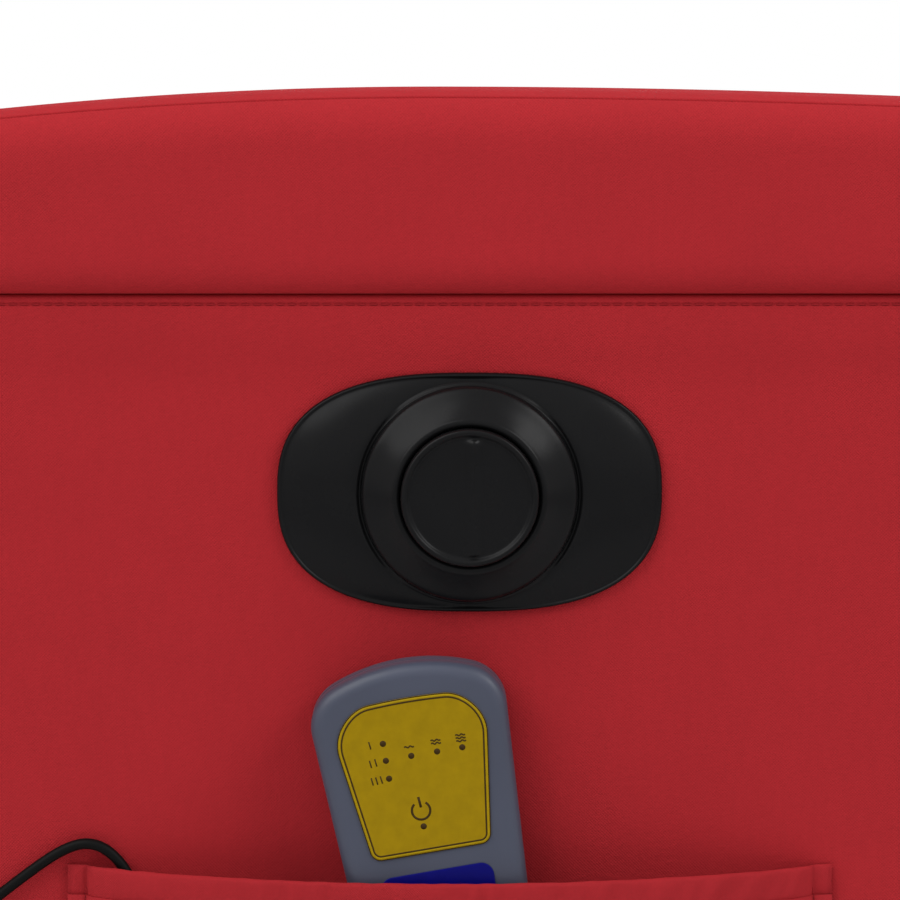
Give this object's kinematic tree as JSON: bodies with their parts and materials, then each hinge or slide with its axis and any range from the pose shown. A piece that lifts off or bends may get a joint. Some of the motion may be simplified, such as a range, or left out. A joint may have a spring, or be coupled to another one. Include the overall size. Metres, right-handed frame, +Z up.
{
  "type": "massage chair",
  "caption": "Upholstered manual recliner with vibration massage, fold-out footrest, side release knob and wired remote in a side pocket",
  "frame": {"origin": "on the floor, under the middle of the chair's overall width and depth", "axes": "Z is up, the sitter faces -Y, and X runs from the sitter's right (-X), where the handle and remote are, to the left (+X)"},
  "size_m": [0.7902, 0.8467, 1.0323],
  "materials": {
    "red_fabric": "fine plain weave upholstery fabric over foam",
    "plywood": "raw plywood",
    "black_plastic": "satin moulded plastic",
    "dark_metal": "black powder coat",
    "steel": "zinc-plated steel",
    "grey_plastic": "satin grey-blue moulded plastic",
    "yellow_film": "semi-gloss printed film",
    "blue_film": "semi-gloss printed film",
    "black_rubber": "soft rubber",
    "elastic": "woven elastic",
    "circuit": "green solder mask",
    "lamp": "clear red"
  },
  "bodies": {
    "base": {"arm_frame_left": "plywood", "arm_frame_right": "plywood", "arm_cover_left": "red_fabric", "arm_cover_right": "red_fabric", "arm_top_pad_left": "red_fabric", "arm_top_pad_right": "red_fabric", "base_cross_rails": "plywood", "feet": "black_plastic", "side_plate_left": "dark_metal", "side_plate_right": "dark_metal", "seat_rails": "plywood", "seat_rail_hangers": "dark_metal", "seat_webbing": "elastic", "seat_cushion": "red_fabric", "seat_motor_housings": "black_plastic", "release_escutcheon": "black_plastic", "cable_housing": "black_plastic", "housing_screws": "steel", "remote_pocket": "red_fabric", "pocket_hem": "red_fabric", "control_box": "black_plastic", "power_inlet": "steel", "cord_grommet": "black_rubber", "remote_cord": "black_rubber"},
    "back": {"back_frame": "plywood", "back_brackets": "dark_metal", "back_rear_cover": "red_fabric", "lumbar_cushion": "red_fabric", "middle_cushion": "red_fabric", "head_cushion": "red_fabric", "back_motor_housings": "black_plastic"},
    "drive_links": {"scissor_drive_links": "dark_metal", "drive_tube": "dark_metal"},
    "rear_links": {"scissor_rear_links": "dark_metal"},
    "front_down_links": {"scissor_front_down_links": "dark_metal"},
    "front_up_links": {"scissor_front_up_links": "dark_metal"},
    "footrest": {"footrest_brackets": "dark_metal", "footrest_board": "plywood", "footrest_pad": "red_fabric"},
    "knob": {"release_knob": "black_plastic", "cable_drum": "black_plastic"},
    "remote": {"remote_front_shell": "grey_plastic", "remote_rear_shell": "grey_plastic", "remote_screws": "steel", "remote_circuit_board": "circuit", "remote_upper_overlay": "yellow_film", "remote_lower_overlay": "blue_film", "remote_lamps": "lamp", "remote_strain_relief": "black_rubber"},
    "power_key_body": {"power_key": "blue_film"},
    "mode_key_body": {"mode_key": "blue_film"},
    "level_key_body": {"level_key": "blue_film"},
    "heat_key_body": {"heat_key": "blue_film"},
    "seat_weight_left": {"seat_motor_weight_left": "steel"},
    "seat_weight_right": {"seat_motor_weight_right": "steel"},
    "back_weight_left": {"back_motor_weight_left": "steel"},
    "back_weight_right": {"back_motor_weight_right": "steel"}
  },
  "joints": [
    {"name": "back_recline", "type": "hinge", "parent": "base", "child": "back", "pos_m": [0, 0.212, 0.33], "axis": [-1, 0, 0], "range_deg": [0, 38]},
    {"name": "footrest_drive", "type": "hinge", "parent": "base", "child": "drive_links", "pos_m": [0, -0.168, 0.215], "axis": [1, 0, 0], "range_deg": [0, 62]},
    {"name": "rear_links_turn", "type": "hinge", "parent": "base", "child": "rear_links", "pos_m": [0, -0.168, 0.215], "axis": [1, 0, 0], "range_deg": [-62, 0]},
    {"name": "front_down_turn", "type": "hinge", "parent": "drive_links", "child": "front_down_links", "pos_m": [0, -0.1808, 0.31922], "axis": [1, 0, 0], "range_deg": [-124, 0]},
    {"name": "front_up_turn", "type": "hinge", "parent": "rear_links", "child": "front_up_links", "pos_m": [0, -0.20903, 0.11835], "axis": [1, 0, 0], "range_deg": [0, 124]},
    {"name": "footrest_turn", "type": "hinge", "parent": "front_up_links", "child": "footrest", "pos_m": [0, -0.23462, 0.32678], "axis": [1, 0, 0], "range_deg": [-152, 0]},
    {"name": "knob_turn", "type": "hinge", "parent": "base", "child": "knob", "pos_m": [-0.38, -0.088, 0.4936], "axis": [-1, 0, 0], "range_deg": [0, 40], "stiffness_Nm_per_rad": 0.6},
    {"name": "remote_lift", "type": "slide", "parent": "base", "child": "remote", "axis": [0, 0.1702, 0.9854], "range_m": [0, 0.009], "deforming": ["remote_cord"]},
    {"name": "power_key_press", "type": "slide", "parent": "remote", "child": "power_key_body", "axis": [1, 0, 0], "range_m": [0, 0.0004], "stiffness_N_per_m": 1500},
    {"name": "mode_key_press", "type": "slide", "parent": "remote", "child": "mode_key_body", "axis": [1, 0, 0], "range_m": [0, 0.0004], "stiffness_N_per_m": 1500},
    {"name": "level_key_press", "type": "slide", "parent": "remote", "child": "level_key_body", "axis": [1, 0, 0], "range_m": [0, 0.0004], "stiffness_N_per_m": 1500},
    {"name": "heat_key_press", "type": "slide", "parent": "remote", "child": "heat_key_body", "axis": [1, 0, 0], "range_m": [0, 0.0004], "stiffness_N_per_m": 1500},
    {"name": "seat_weight_left_spin", "type": "hinge", "parent": "base", "child": "seat_weight_left", "pos_m": [0.095, -0.13625, 0.383], "axis": [0, 0, 1], "continuous": true},
    {"name": "back_weight_left_spin", "type": "hinge", "parent": "back", "child": "back_weight_left", "pos_m": [0.095, 0.2571, 0.51993], "axis": [0, -0.9613, 0.2756], "continuous": true},
    {"name": "seat_weight_right_spin", "type": "hinge", "parent": "base", "child": "seat_weight_right", "pos_m": [-0.095, -0.13625, 0.383], "axis": [0, 0, 1], "continuous": true},
    {"name": "back_weight_right_spin", "type": "hinge", "parent": "back", "child": "back_weight_right", "pos_m": [-0.095, 0.2571, 0.51993], "axis": [0, -0.9613, 0.2756], "continuous": true}
  ],
  "couplings": [
    {"joint": "rear_links_turn", "follows": "footrest_drive", "ratio": -1},
    {"joint": "front_down_turn", "follows": "footrest_drive", "ratio": -2},
    {"joint": "front_up_turn", "follows": "footrest_drive", "ratio": 2},
    {"joint": "footrest_turn", "follows": "footrest_drive", "ratio": -2.4516}
  ]
}
